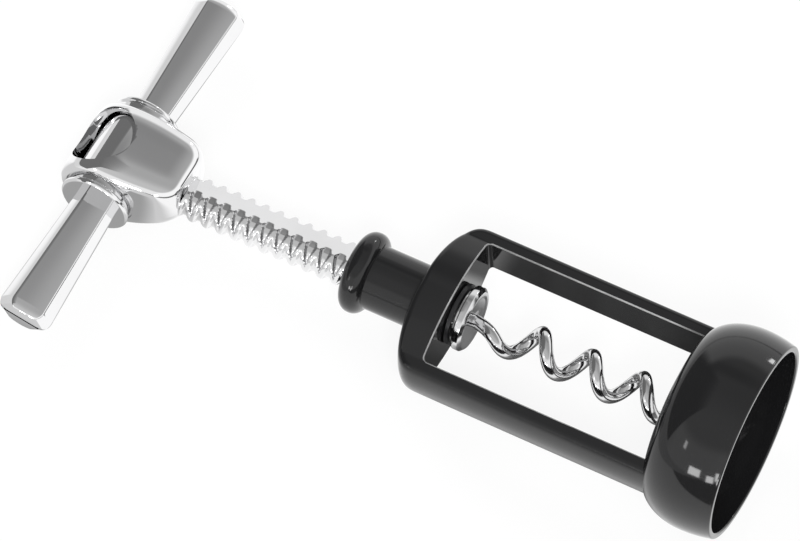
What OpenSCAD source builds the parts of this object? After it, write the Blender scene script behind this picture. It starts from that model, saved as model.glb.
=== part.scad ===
// Bell corkscrew, modelled as an assembly of separate pieces, in millimetres.
// The origin is the centre of the bell's mouth. X runs along the spindle and out of the mouth,
// Y runs along the T handle and Z is up while the corkscrew lies on a table.
// A distance called a station is measured from the mouth plane back towards the handle.

/* [Display] */
// Which piece is drawn, or all of them
// Facets round a full turn of an exact surface
$fn = 96;

/* [Bell] */
// Radius of the widest part of the bell
bell_radius = 21.7; // [20:0.1:24]
// Radius of the outer edge of the mouth
mouth_outer_radius = 20.9; // [20.2:0.1:21.6]
// Radius of the inner edge of the mouth
mouth_inner_radius = 19.5; // [18.8:0.1:19.8]
// Corner radius of the mouth's flat rim
mouth_round = 0.35; // [0.2:0.05:0.6]
// Station of the widest part of the bell
bell_crest_station = 6.6; // [5:0.1:9]
// Length of the bell from the mouth to its back face
bell_length = 16.8; // [16:0.1:19]
// Radius at which the round back of the bell ends
bell_back_radius = 15.7; // [14.8:0.1:16.4]
// Wall thickness of the bell
bell_wall = 1.9; // [1.5:0.1:2.4]
// Thickness of the ring that a bottle stops against
seat_thickness = 2.4; // [1.8:0.1:3]
// Radius of the hole through that ring
throat_radius = 13; // [12:0.1:13.6]
// Outer radius of the flat face that a bottle stops against
seat_radius = 15.2; // [14.4:0.1:16]

/* [Cage] */
// Radius of the outer surface of the posts
cage_radius = 18.2; // [17.6:0.1:18.6]
// Half the thickness of the flat-sided posts
post_half_thickness = 5.2; // [4.8:0.1:6]
// Half the thickness of the crowned bridge at its middle
bridge_half_thickness = 9.1; // [7.8:0.1:9.4]
// Half the width of the window between the posts
window_half_width = 14.6; // [14.2:0.1:15]
// Station of the underside of the bridge
bridge_station = 66.3; // [65:0.1:68]
// Length of the domed shoulder
shoulder_length = 8.2; // [7.4:0.1:10]
// Fullness of the shoulder's corners, 2 for an ellipse and more for a squarer dome
shoulder_fullness = 3.2; // [2:0.1:3.6]
// Turn of the cage about the spindle while the handle lies flat
cage_turn = 6; // [0:1:25]

/* [Neck] */
// Outer radius of the neck
neck_radius = 6.8; // [6.6:0.05:7.2]
// Station where the bead starts
bead_start_station = 84.6; // [83:0.1:86]
// Outer radius of the bead
bead_radius = 8.75; // [8.2:0.05:9.4]
// Length of the bead
bead_length = 5.2; // [5:0.1:6.6]
// Corner radius of the bead
bead_round = 2.5; // [1.6:0.1:2.5]
// Radius of the bore that holds the guide bush
neck_bore_radius = 5.7; // [5.5:0.05:5.8]

/* [Spindle] */
// Outer radius of the threaded shaft
shaft_radius = 4.8; // [4.6:0.05:5]
// Distance of each flat from the shaft axis
flat_distance = 3.45; // [3.2:0.05:3.6]
// Depth of the thread below the shaft radius
thread_depth = 0.85; // [0.5:0.05:0.9]
// Pitch of the crossed thread
thread_pitch = 3.3; // [3:0.05:3.5]
// Width of a thread ridge as a part of the pitch
ridge_part = 0.34; // [0.3:0.02:0.5]
// Shift of the thread along the shaft as a part of the pitch
thread_phase = 0.87; // [0:0.01:1]
// Station where the thread starts
thread_start_station = 88.2; // [86:0.1:94]
// Turn of the shaft flats about the spindle axis
shaft_turn = -25; // [-60:1:0]
// Stroke clearance left between hub and bead
stroke_clearance = 0.4; // [0.3:0.1:1]
// Radius of the shaft spigot inside the hub
spigot_radius = 3.4; // [3.2:0.05:3.6]
// Radius of the tenon that enters the handle bar
tenon_radius = 2; // [1.8:0.1:2.2]

/* [Flange] */
// Radius of the flange disc
flange_radius = 6.95; // [6.4:0.05:7.4]
// Thickness of the flange disc
flange_thickness = 2.1; // [1.8:0.1:2.4]
// Width of the bevel round the flange face
flange_bevel = 0.7; // [0.4:0.1:0.9]
// Radius of the thin step behind the flange
step_radius = 6.2; // [5.8:0.05:6.4]
// Thickness of the thin step behind the flange
step_thickness = 0.6; // [0.4:0.1:0.8]
// Outer radius of the thrust washer
washer_radius = 6.6; // [6:0.05:6.8]
// Thickness of the thrust washer
washer_thickness = 0.8; // [0.6:0.1:1]

/* [Worm] */
// Radius of the worm's wire
wire_radius = 1.45; // [1.3:0.05:1.6]
// Radius of the worm's centre line
coil_radius = 3.25; // [3:0.05:3.5]
// Pitch of the worm
worm_pitch = 11.2; // [10.5:0.1:12]
// Station of the worm's point
tip_station = 8.5; // [6:0.5:12]
// Turn of the worm about the spindle axis at the flange
worm_turn = -60; // [-180:4:180]
// Depth of the worm's shank inside the shaft
shank_depth = 12; // [8:0.5:14]

/* [Hub] */
// Station of the handle axis
handle_station = 144; // [142:0.5:146]
// Distance from the handle axis to the lower end of the hub
hub_reach = 16.4; // [15.5:0.1:17.5]
// Offset of the head from the spindle axis towards its far end
head_offset = 0.8; // [0:0.1:1]
// Radius of the hub's round end about the handle axis
hub_end_radius = 9.5; // [9.3:0.1:10]
// Half the width of the hub along the handle
hub_half_width = 9.8; // [9.4:0.1:10.2]
// Half the width of the hub's nose before it is rounded
hub_nose_half_width = 7.6; // [7:0.1:8.2]
// Height of the hub's top face above the spindle axis at the nose
hub_nose_height = 7.8; // [7:0.1:8.6]
// Depth of the hub's underside below the spindle axis at the nose
hub_nose_depth = 5; // [4.8:0.1:6]
// Radius of the cross bore that takes the handle collars
cross_bore_radius = 7.7; // [7.5:0.05:7.9]
// Radius of the window in the hub
window_radius = 7.2; // [6:0.1:7.2]
// Lean of the window towards the closed end of the hub
window_lean = 29; // [20:1:40]
// Radius of the pin that holds the shaft in the hub
hub_pin_radius = 1.2; // [1:0.1:1.5]

/* [Handle] */
// Half the length of the handle bar
bar_half_length = 43; // [40:0.5:46]
// Shift of the bar through the hub towards its far end
bar_offset = 0.7; // [0:0.1:2]
// Shift of the bar across the handle axis towards the spindle
bar_forward = 0.4; // [0:0.1:0.6]
// Half the width of the bar's flat face at the hub
face_root_half_width = 2.8; // [2.6:0.1:3.2]
// Half the width of the bar's flat face near its end
face_end_half_width = 3.5; // [3.3:0.1:4.2]
// Half the full width of the bar at the hub
bar_root_half_width = 4.5; // [4.2:0.1:4.7]
// Half the full width of the bar near its end
bar_end_half_width = 5.8; // [5:0.1:6]
// Half the thickness of the bar
bar_half_thickness = 3.1; // [2.8:0.1:3.4]
// Length over which the bar's ends are rounded
bar_end_round = 2.4; // [1.5:0.1:3]
// Turn of the bar's flat face about the handle axis
bar_turn = 15; // [0:1:20]
// Outer radius of the collar drum
collar_radius = 7.1; // [6.9:0.05:7.3]
// Outer radius of the lip on the collar
collar_lip_radius = 7.6; // [7.5:0.05:7.65]

/* [Fits] */
// Radial running clearance of the shaft in the guide bush
running_clearance = 0.06; // [0.03:0.01:0.1]
// Radial clearance between fixed pieces that slide together
assembly_clearance = 0.03; // [0.01:0.01:0.08]
// Gap between moving pieces that do not run on each other
free_gap = 0.3; // [0.3:0.05:0.5]

/* [Hidden] */
full_turn = 360;
half_turn = 180;
quarter_turn = 90;
overlap = 0.5;
black = [0.06, 0.06, 0.065];
chrome = [0.8, 0.8, 0.82];
steel = [0.62, 0.62, 0.65];
nylon = [0.12, 0.12, 0.13];

bead_end_station = bead_start_station + bead_length;
hub_low_station = handle_station - hub_reach;
washer_station = bridge_station - free_gap - washer_thickness;
flange_back_station = washer_station - free_gap;
flange_face_station = flange_back_station - step_thickness - flange_thickness;
stroke = hub_low_station - bead_end_station - stroke_clearance;
bush_bore_radius = shaft_radius + running_clearance;
root_radius = shaft_radius - thread_depth;
arc_steps = 14;

// A smooth step from 0 to 1 while t runs from 0 to 1
function ease(t) = let (u = min(max(t, 0), 1)) u * u * (3 - 2 * u);
function mix(a, b, t) = a + (b - a) * t;

// Puts children that are built along Z onto the spindle axis
module along_x() {
    rotate([0, quarter_turn, 0])
        children();
}

// A turned solid from a list of [radius, station] pairs
module turned(points) {
    along_x()
        rotate_extrude()
            polygon([for (p = points) [p[0], -p[1]]]);
}

// A plain cylinder on the spindle axis between two stations
module rod(radius, from_station, to_station) {
    translate([-to_station, 0, 0])
        along_x()
            cylinder(r = radius, h = to_station - from_station);
}

// Joins rings of points into a closed solid, with flat ends
module skin(rings) {
    count = len(rings);
    sides = len(rings[0]);
    points = [for (ring = rings) for (p = ring) p];
    walls = [
        for (i = [0 : count - 2])
            for (j = [0 : sides - 1])
                let (k = (j + 1) % sides)
                    for (t = [0, 1])
                        t == 0
                            ? [i * sides + j, i * sides + k, (i + 1) * sides + k]
                            : [i * sides + j, (i + 1) * sides + k, (i + 1) * sides + j]
    ];
    first = [for (j = [sides - 1 : -1 : 0]) j];
    last = [for (j = [0 : sides - 1]) (count - 1) * sides + j];
    polyhedron(points = points, faces = concat([first], walls, [last]), convexity = 10);
}

/* Frame */

bell_rim = [
    for (side = [0, 1])
        for (i = [0 : arc_steps])
            let (a = quarter_turn * (side + i / arc_steps))
                [
                    mix(mouth_inner_radius + mouth_round, mouth_outer_radius - mouth_round, side)
                        - mouth_round * cos(a),
                    mouth_round - mouth_round * sin(a)
                ]
];
bell_front = [
    for (i = [1 : arc_steps])
        let (t = i / arc_steps)
            [
                mix(mouth_outer_radius, bell_radius, 1 - (1 - t) * (1 - t)),
                mix(mouth_round, bell_crest_station, t)
            ]
];
bell_back = [
    for (i = [1 : arc_steps])
        let (a = quarter_turn * i / arc_steps)
            [
                mix(bell_back_radius, bell_radius, cos(a)),
                mix(bell_crest_station, bell_length, sin(a))
            ]
];
seat_station = bell_length - seat_thickness;
bell_inside = [
    for (i = [0 : arc_steps])
        let (a = quarter_turn * (arc_steps - i) / arc_steps)
            [
                mix(seat_radius, bell_radius - bell_wall, cos(a)),
                mix(bell_crest_station, seat_station, sin(a))
            ]
];

module bell() {
    turned(concat(
        bell_rim,
        bell_front,
        bell_back,
        [[throat_radius, bell_length], [throat_radius, seat_station]],
        bell_inside
    ));
}

// Outside of the cage before its faces are cut
shoulder = [
    for (i = [0 : arc_steps])
        let (t = sin(quarter_turn * i / arc_steps))
            [
                cage_radius * sqrt(1 - pow(t, shoulder_fullness)),
                bridge_station + shoulder_length * t
            ]
];
shoulder_top_station = bridge_station + shoulder_length;

// The crowned faces of the bridge are arcs that meet the flat posts just outside the window's corners
crown_margin = 0.2;
crown_half_width = window_half_width + crown_margin;
crown_rise = bridge_half_thickness - post_half_thickness;
crown_radius = (crown_half_width * crown_half_width + crown_rise * crown_rise) / (2 * crown_rise);

// A block across the spindle axis between two stations, turned with the cage
module cage_block(half_width, half_thickness, from_station, to_station) {
    rotate([cage_turn, 0, 0])
        translate([-to_station, -half_width, -half_thickness])
            cube([to_station - from_station, 2 * half_width, 2 * half_thickness]);
}

module bridge_crown() {
    rotate([cage_turn, 0, 0])
        intersection_for(side = [-1, 1])
            translate([0, 0, side * (bridge_half_thickness - crown_radius)])
                rod(crown_radius, bridge_station - overlap, shoulder_top_station + overlap);
}

module cage() {
    difference() {
        intersection() {
            turned(concat([[0, seat_station], [cage_radius, seat_station]], shoulder));
            union() {
                cage_block(2 * cage_radius, post_half_thickness, 0, shoulder_top_station + overlap);
                bridge_crown();
            }
        }
        cage_block(window_half_width, cage_radius, 0, bridge_station);
    }
}

bead_profile = [
    for (side = [0, 1])
        for (i = [0 : arc_steps])
            let (a = quarter_turn * (side + i / arc_steps))
                [
                    bead_radius - bead_round + bead_round * sin(a),
                    mix(bead_start_station + bead_round, bead_end_station - bead_round, side)
                        - bead_round * cos(a)
                ]
];

module neck() {
    turned(concat(
        [[0, bridge_station], [neck_radius, bridge_station], [neck_radius, bead_start_station]],
        bead_profile,
        [[0, bead_end_station]]
    ));
}

module frame() {
    color(black)
        difference() {
            union() {
                bell();
                cage();
                neck();
            }
            rod(neck_bore_radius, bridge_station - overlap, bead_end_station + overlap);
        }
}

// Plain bush pressed into the neck, the spindle runs in it
module guide_bush() {
    color(nylon)
        difference() {
            rod(neck_bore_radius, bridge_station, bead_end_station);
            rod(bush_bore_radius, bridge_station - overlap, bead_end_station + overlap);
        }
}

// Loose washer between the flange and the bridge
module thrust_washer() {
    color(nylon)
        difference() {
            rod(washer_radius, washer_station, washer_station + washer_thickness);
            rod(bush_bore_radius, washer_station - overlap, washer_station + washer_thickness + overlap);
        }
}

/* Spindle */

shaft_end_station = flange_back_station;
spigot_end_station = handle_station - cross_bore_radius + overlap;
tenon_end_station = handle_station + bar_root_half_width - overlap;
thread_rings_per_pitch = 10;
thread_columns = 14;
thread_starts = 2;
flank_part = 0.15;
step_in = 0.02;
thread_flat = flat_distance - step_in;
thread_crest = shaft_radius - step_in;
sector_angle = asin(thread_flat / root_radius);
crossing_angle = 45;

// Distance from a ridge's crest, 0 on the crest and 1 half a pitch away
function off_crest(v) = abs(2 * (v - floor(v)) - 1);

// Height of a ridge between 0 and 1, with a flat crest and sloped flanks
function ridge(v) = ease((ridge_part + flank_part - off_crest(v)) / (2 * flank_part));

// Shaft radius at an angle from the middle of a threaded sector and a station,
// the right-hand and left-hand ridges cross at the edge of each flat
function thread_radius(angle, station) =
    let (
        turns = (station - thread_start_station) / thread_pitch + thread_phase,
        lead = thread_starts * (angle + crossing_angle) / full_turn,
        right = ridge(turns + lead),
        left = ridge(turns - lead)
    )
        mix(root_radius, thread_crest, max(right, left));

// Angles round the shaft, closely spaced on the two threaded sectors
sector_angles = [
    for (i = [0 : thread_columns])
        mix(-sector_angle, sector_angle, i / thread_columns)
];
shaft_angles = concat(sector_angles, [for (a = sector_angles) a + half_turn]);

function shaft_point(angle, station) =
    let (
        side = angle > quarter_turn ? half_turn : 0,
        local = angle - side,
        wall = thread_radius(local, station),
        flat = thread_flat / max(abs(sin(local)), thread_flat / (2 * shaft_radius)),
        r = min(wall, flat)
    )
        [-station, r * cos(angle + shaft_turn), r * sin(angle + shaft_turn)];

module shaft_flats(radius, from_station, to_station) {
    intersection() {
        rod(radius, from_station, to_station);
        rotate([shaft_turn, 0, 0])
            translate([-to_station, -radius, -flat_distance])
                cube([to_station - from_station, 2 * radius, 2 * flat_distance]);
    }
}

module spindle_shaft() {
    ring_count = round((hub_low_station - thread_start_station)
        / thread_pitch * thread_rings_per_pitch);
    color(chrome)
        difference() {
            union() {
                shaft_flats(shaft_radius, shaft_end_station, thread_start_station);
                skin([
                    for (i = [-1 : ring_count])
                        let (station = mix(thread_start_station, hub_low_station, i / ring_count))
                            [for (a = shaft_angles) shaft_point(a, station)]
                ]);
                rod(spigot_radius, hub_low_station - overlap, spigot_end_station);
                rod(tenon_radius, spigot_end_station - overlap, tenon_end_station);
            }
            rod(wire_radius, shaft_end_station - overlap, shaft_end_station + shank_depth);
            worm_pin_hole();
            hub_pin_hole();
        }
}

module worm_flange() {
    color(chrome)
        difference() {
            turned([
                [wire_radius, flange_face_station],
                [flange_radius - flange_bevel, flange_face_station],
                [flange_radius, flange_face_station + flange_bevel],
                [flange_radius, flange_back_station - step_thickness],
                [step_radius, flange_back_station - step_thickness],
                [step_radius, flange_back_station],
                [wire_radius, flange_back_station]
            ]);
            rod(wire_radius, flange_face_station - overlap, flange_back_station + overlap);
        }
}

/* Worm */

// The wire swings out over these turns and follows the helix after the lead-in
worm_swing = 0.7;
worm_lead_in = 0.8;
worm_lead_power = 3;
worm_taper = 0.75;
worm_steps_per_turn = 26;
wire_sides = 14;
wire_core = 0.96;
point_radius = 0.1;
worm_slope_step = 0.01;
worm_start_station = flange_face_station;
worm_turns = (worm_start_station - tip_station) / worm_pitch;
worm_steps = ceil(worm_turns * worm_steps_per_turn);

// Angle of the wire about the axis, it turns slowly at first and then joins the helix
function worm_angle(u) =
    let (
        t = min(max(u / worm_lead_in, 0), 1),
        slow = worm_lead_in * (1 - (1 - pow(t, worm_lead_power)) / worm_lead_power)
    )
        worm_turn + full_turn * max(slow, u);

// Centre of the wire after a number of turns
function worm_centre(u) =
    let (
        r = coil_radius * sin(quarter_turn * min(max(u / worm_swing, 0), 1)),
        a = worm_angle(u)
    )
        [-worm_start_station + u * worm_pitch, r * cos(a), r * sin(a)];

function worm_wire(u) =
    let (left = min(max((worm_turns - u) / worm_taper, 0), 1))
        mix(point_radius, wire_radius * wire_core, sqrt(left));

function unit(v) = v / norm(v);

// One ring of the wire, square to its centre line
function worm_ring(u) =
    let (
        along = unit(worm_centre(u + worm_slope_step) - worm_centre(u - worm_slope_step)),
        a = worm_angle(u),
        out = unit(cross(cross(along, [0, cos(a), sin(a)]), along)),
        side = cross(out, along),
        r = worm_wire(u)
    )
        [
            for (j = [0 : wire_sides - 1])
                let (b = full_turn * j / wire_sides)
                    worm_centre(u) + r * (cos(b) * out + sin(b) * side)
        ];

module worm() {
    color(chrome)
        difference() {
            union() {
                rod(wire_radius, flange_face_station, shaft_end_station + shank_depth);
                skin([for (i = [0 : worm_steps]) worm_ring(worm_turns * i / worm_steps)]);
            }
            worm_pin_hole();
        }
}

// Pin through the shaft's flats and the worm's shank
worm_pin_radius = 0.8;
worm_pin_station = shaft_end_station + shank_depth / 2;
worm_pin_half_length = flat_distance - free_gap / 2;

module across_flats(radius, half_length) {
    translate([-worm_pin_station, 0, 0])
        rotate([shaft_turn, 0, 0])
            cylinder(r = radius, h = 2 * half_length, center = true);
}

module worm_pin_hole() {
    across_flats(worm_pin_radius, 2 * shaft_radius);
}

module worm_pin() {
    color(steel)
        across_flats(worm_pin_radius, worm_pin_half_length);
}

/* Hub */

hub_steps = 30;
hub_ring_points = 44;
hub_end_corner = 5.1;
hub_end_round = 2;
hub_square = 5;
hub_top_square = 5;
hub_low_square = 1.5;
hub_taper_power = 1.9;
hub_end_trim = 0.998;
// The nose is rounded over this length, by these amounts at its sides, top and underside
hub_nose_length = 4;
hub_side_round = 2.6;
hub_top_round = 1.6;
hub_low_round = 0.6;
hub_pin_inset = 3.8;
hub_pin_reach = hub_reach - hub_pin_inset;
hub_pin_bottom = 6.4;
hub_pin_top = 4.6;

function power(v, e) = v <= 0 ? 0 : pow(v, e);
function quarter(t) = 1 - sqrt(max(1 - t * t, 0));

// Size of the hub at a reach from the handle axis towards the spindle
function hub_taper(e) = power(e / hub_reach, hub_taper_power);
function hub_nose(e) = quarter(max(e - hub_reach + hub_nose_length, 0) / hub_nose_length);
function hub_past_corner(e) = max(-e - hub_end_corner, 0) / (hub_end_radius - hub_end_corner);
function hub_width(e) =
    e < 0
        ? hub_half_width - hub_end_round * quarter(hub_past_corner(e))
        : mix(hub_half_width, hub_nose_half_width, hub_taper(e)) - hub_side_round * hub_nose(e);
function hub_height(e, nose, round) =
    e < 0
        ? sqrt(max(hub_end_radius * hub_end_radius - e * e, 0))
        : mix(hub_end_radius, nose, hub_taper(e)) - round * hub_nose(e);

// One ring of the hub, with a squarish upper half and a rounder lower half
function hub_ring(e) =
    let (
        w = hub_width(e),
        top = hub_height(e, hub_nose_height, hub_top_round),
        low = hub_height(e, hub_nose_depth, hub_low_round),
        t = max(e, 0) / hub_reach,
        top_power = 2 / mix(hub_square, hub_top_square, t),
        low_power = 2 / mix(hub_square, hub_low_square, t)
    )
        [
            for (j = [0 : hub_ring_points - 1])
                let (
                    a = full_turn * (j + 0.5) / hub_ring_points,
                    c = cos(a),
                    s = sin(a),
                    n = s > 0 ? top_power : low_power
                )
                    [
                        -handle_station + e,
                        head_offset + w * sign(c) * pow(abs(c), n),
                        (s > 0 ? top : low) * sign(s) * pow(abs(s), n)
                    ]
        ];

// Reach of each ring, closely spaced near both ends
function hub_reach_at(i) =
    let (t = i / hub_steps)
        mix(-hub_end_radius * hub_end_trim, hub_reach, (1 - cos(half_turn * t)) / 2);

module hub_pin_hole() {
    translate([-handle_station + hub_pin_reach, 0, -2 * hub_end_radius])
        cylinder(r = hub_pin_radius, h = 2 * hub_end_radius + hub_pin_top);
}

module hub() {
    color(chrome)
        difference() {
            skin([for (i = [0 : hub_steps]) hub_ring(hub_reach_at(hub_steps - i))]);
            translate([-handle_station, head_offset, 0])
                rotate([quarter_turn, 0, 0])
                    cylinder(r = cross_bore_radius, h = 2 * (hub_half_width + overlap), center = true);
            translate([-handle_station, head_offset, 0])
                rotate([0, -window_lean, 0])
                    cylinder(r = window_radius, h = 2 * hub_end_radius);
            rod(spigot_radius, hub_low_station - overlap, handle_station);
            hub_pin_hole();
        }
}

module hub_pin() {
    color(steel)
        translate([-handle_station + hub_pin_reach, 0, -hub_pin_bottom])
            cylinder(r = hub_pin_radius, h = hub_pin_bottom + hub_pin_top);
}

/* Handle */

bar_steps = 5;
bar_shoulder = 0.36;
// Parts of the end rounding that the bar's sides and its top draw in by
bar_side_inset = 0.7;
bar_top_inset = 0.5;
collar_seat_radius = cross_bore_radius - assembly_clearance;
// The collars seat in the cross bore over a short length and stand out of the hub
collar_seat_depth = 1.7;
collar_seat_start = hub_half_width - collar_seat_depth;
collar_seat_length = 0.7;
collar_drum_length = 0.6;
collar_lip_length = 1.3;
collar_drum_end = hub_half_width + collar_drum_length;
collar_end = collar_drum_end + collar_lip_length;
lip_bevel = 0.4;
// The round core joins the two collars inside the hub
core_gap = 0.7;
core_radius = cross_bore_radius - core_gap;

// Ring of the bar at a distance along the handle, scaled down at the rounded ends
function bar_ring(y) =
    let (
        t = max(abs(y) - collar_end, 0) / (bar_half_length - bar_end_round - collar_end),
        u = max(abs(y) - (bar_half_length - bar_end_round), 0) / bar_end_round,
        inset = bar_end_round * quarter(u) * bar_side_inset,
        face = mix(face_root_half_width, face_end_half_width, min(t, 1)) - inset,
        full = mix(bar_root_half_width, bar_end_half_width, min(t, 1)) - inset,
        top = bar_half_thickness - inset * bar_top_inset,
        mid = bar_half_thickness * bar_shoulder
    )
        [
            for (p = [
                [full, mid],
                [face, top],
                [-face, top],
                [-full, mid],
                [-full, -mid],
                [-face, -top],
                [face, -top],
                [full, -mid]
            ])
                [-y, p[0], p[1]]
        ];

// Distance of each ring of a rounded end from the middle of the bar
bar_end_stations = [
    for (i = [0 : bar_steps])
        bar_half_length - bar_end_round * (1 - cos(quarter_turn * i / bar_steps))
];
bar_stations = concat(
    [for (y = bar_end_stations) -y],
    [-collar_end, collar_end],
    [for (i = [bar_steps : -1 : 0]) bar_end_stations[i]]
);

// Turned collar on the handle axis, mirrored for the other side
module collar() {
    rotate([-quarter_turn, 0, 0])
        rotate_extrude()
            polygon([
                [0, collar_seat_start],
                [collar_seat_radius, collar_seat_start],
                [collar_seat_radius, collar_seat_start + collar_seat_length],
                [collar_radius, collar_seat_start + collar_seat_length],
                [collar_radius, collar_drum_end],
                [collar_lip_radius, collar_drum_end + lip_bevel],
                [collar_lip_radius, collar_end - lip_bevel],
                [collar_lip_radius - lip_bevel, collar_end],
                [0, collar_end]
            ]);
}

module handle_bar() {
    color(chrome)
        difference() {
            translate([-handle_station, head_offset, 0])
                union() {
                    translate([bar_forward, bar_offset, 0])
                        rotate([0, bar_turn, 0])
                            rotate([0, 0, quarter_turn])
                                skin([for (y = bar_stations) bar_ring(y)]);
                    rotate([quarter_turn, 0, 0])
                        cylinder(r = core_radius, h = 2 * (collar_seat_start + overlap), center = true);
                    collar();
                    mirror([0, 1, 0])
                        collar();
                }
            rod(tenon_radius, spigot_end_station - overlap, tenon_end_station + 2 * overlap);
        }
}

frame();
guide_bush();
thrust_washer();
spindle_shaft();
worm_flange();
worm();
worm_pin();
hub();
hub_pin();
handle_bar();
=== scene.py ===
import math

import bmesh
import bpy
import numpy as np
from mathutils import Euler, Matrix, Vector


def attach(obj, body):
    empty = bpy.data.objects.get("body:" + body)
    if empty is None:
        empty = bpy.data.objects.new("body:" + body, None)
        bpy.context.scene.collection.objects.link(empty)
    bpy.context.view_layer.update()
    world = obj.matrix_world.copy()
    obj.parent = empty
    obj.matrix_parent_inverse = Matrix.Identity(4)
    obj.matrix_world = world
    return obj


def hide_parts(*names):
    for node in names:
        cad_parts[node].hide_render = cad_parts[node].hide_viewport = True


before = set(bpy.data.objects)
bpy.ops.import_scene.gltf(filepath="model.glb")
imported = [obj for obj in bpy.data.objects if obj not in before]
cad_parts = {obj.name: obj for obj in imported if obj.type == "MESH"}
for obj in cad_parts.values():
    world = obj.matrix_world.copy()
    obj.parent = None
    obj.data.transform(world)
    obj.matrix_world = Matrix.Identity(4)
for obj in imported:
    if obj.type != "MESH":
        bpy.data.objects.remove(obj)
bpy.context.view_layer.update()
scene = bpy.context.scene
MM = 0.001

# Sizes in millimetres and turns in degrees, the same as the part's. A station is a distance from the
# plane of the bell's mouth, measured back along the spindle.

# Bell
BELL_RADIUS = 21.7
BELL_CREST = 6.6
BELL_LENGTH = 16.8
BELL_BACK_RADIUS = 15.7
BELL_WALL = 1.9
MOUTH_OUTER_RADIUS = 20.9
MOUTH_INNER_RADIUS = 19.5
MOUTH_ROUNDING = 0.35
SEAT_THICKNESS = 2.4
SEAT_RADIUS = 15.2
SEAT_FLAT = 0.4
THROAT_RADIUS = 13.0

# Cage
CAGE_RADIUS = 18.2
CAGE_TURN = 6.0
POST_HALF_HEIGHT = 5.2
POST_OVERLAP = 1.2
CROWN_HALF_HEIGHT = 9.1
WINDOW_HALF_WIDTH = 14.6
WINDOW_CORNER = 0.9
WINDOW_EDGE = 0.32
WALL_HOLD = 0.15
# Where the painted highlight lines on the window's rounded edges start, in millimetres, and how far they
# reach as a share of the edge's width
HIGHLIGHT_EDGE_FROM = 0.008
HIGHLIGHT_EDGE_REACH = 0.99
BRIDGE_STATION = 66.3
SHOULDER_LENGTH = 8.2
SHOULDER_FULLNESS = 3.2
RIM_ROUNDING = 1.1
RIM_DROP = 1.21
CORNER_SWEEP = 1.6

# Neck
NECK_RADIUS = 6.8
NECK_INSET = 3.0
BORE_RADIUS = 5.7
BORE_CHAMFER = 0.3
BEAD_STATION = 84.6
BEAD_RADIUS = 8.75
BEAD_LENGTH = 5.2
BEAD_ROUNDING = 2.5

# The turn of the bead's rounding, in radians
BEAD_FROM = 0.24
BEAD_TO = math.pi - 0.05

# Worm and flange
FLANGE_STATION = 62.2
FLANGE_RADIUS = 6.95
FLANGE_THICKNESS = 2.1
FLANGE_CHAMFER = 0.7
DISH_DEPTH = 0.16
DISH_INNER_RADIUS = 2.2
DISH_OUTER_RADIUS = 4.9
DISH_RIM_RADIUS = 5.5
STEP_RADIUS = 6.2
STEP_END = 64.9
WIRE_RADIUS = 1.45
WIRE_LAP = 0.05
WIRE_SKIN = 0.985
COIL_RADIUS = 3.25
WORM_PITCH = 11.2
WORM_TURN = -60.0
TIP_STATION = 8.5
TIP_RADIUS = 0.1

# Shares of a turn: the coil swings out, the wire leads in, and the tip is ground
SWING = 0.7
LEAD_IN = 0.8
LEAD_POWER = 3
TIP_TURN = 0.75

# Shaft
SHAFT_RADIUS = 4.8
SHAFT_TURN = -25.0
SHAFT_GAP = 0.1
SHAFT_IN_HUB = 0.6
FLAT_HEIGHT = 3.45
THREAD_STATION = 88.2
THREAD_START_GAP = 0.01
THREAD_DEPTH = 0.85
THREAD_PITCH = 3.3
THREAD_STARTS = 2
THREAD_PHASE = 0.87
CROSS_ANGLE = 45.0
RIDGE_SHARE = 0.34
FLANK_SHARE = 0.15

# Hub
HANDLE_STATION = 144.0
HEAD_OFFSET = 0.8
HUB_REACH = 16.4
HUB_END_RADIUS = 9.5
HUB_HALF_WIDTH = 9.8
HUB_TAPER_POWER = 1.9
HUB_LAST_SECTION = 0.9995
END_ROUNDING = 2.0
END_CORNER = 5.1
NOSE_LENGTH = 4.0
NOSE_HALF_WIDTH = 7.6
NOSE_TOP = 7.8
NOSE_LOW = 5.0
NOSE_SIDE_ROUNDING = 2.6
NOSE_TOP_ROUNDING = 1.6
NOSE_LOW_ROUNDING = 0.6
END_SQUARENESS = 5.0
NOSE_TOP_SQUARENESS = 5.0
NOSE_LOW_SQUARENESS = 1.5
CROSS_BORE_RADIUS = 7.7
SPIGOT_RADIUS = 3.4
HUB_WINDOW_RADIUS = 7.2
HUB_WINDOW_LEAN = 29.0
HUB_EDGE = 0.14
EDGE_ANGLE = 50.0
EDGE_STEPS = 2

# Handle
BAR_HALF_LENGTH = 43.0
BAR_HALF_THICKNESS = 3.1
BAR_ROOT_HALF_WIDTH = 4.5
BAR_END_HALF_WIDTH = 5.8
FACE_ROOT_HALF_WIDTH = 2.8
FACE_END_HALF_WIDTH = 3.5
FACE_CROWN = 0.4
CROWN_SHARES = (0.72, 0.36, 0.0, -0.36, -0.72)
FACE_ROUNDING = 0.7
BEVEL_SHARE = 0.64
BEVEL_ROUNDING = 1.0
BAR_END = 2.4
BAR_END_INSET = 1.68
BAR_TURN = 15.0
BAR_SHIFT = 0.7
BAR_FORWARD = 0.4
CORE_RADIUS = 7.0
COLLAR_RADIUS = 7.1
COLLAR_LIP_RADIUS = 7.6
COLLAR_LIP_STEP = 0.4
COLLAR_GAP = 0.03
SEAT_START = HUB_HALF_WIDTH - 1.7
SEAT_END = SEAT_START + 0.7
DRUM_END = HUB_HALF_WIDTH + 0.6
COLLAR_END = HUB_HALF_WIDTH + 1.9

# Cutters reach past what they cut, steps lean back a little, and vertices this close are joined
CUT_PAST = 2.0
CUT_REACH = 30.0
STEP_LEAN = 0.05
WELD_DISTANCE = 0.001


# Shapes
def mix(a, b, t):
    return a + (b - a) * t


def ease(t):
    t = np.clip(t, 0, 1)
    return t * t * (3 - 2 * t)


def quarter(t):
    """The drop of a quarter circle below its top, at a share t of its radius."""
    return 1 - np.sqrt(np.maximum(1 - t * t, 0))


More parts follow.
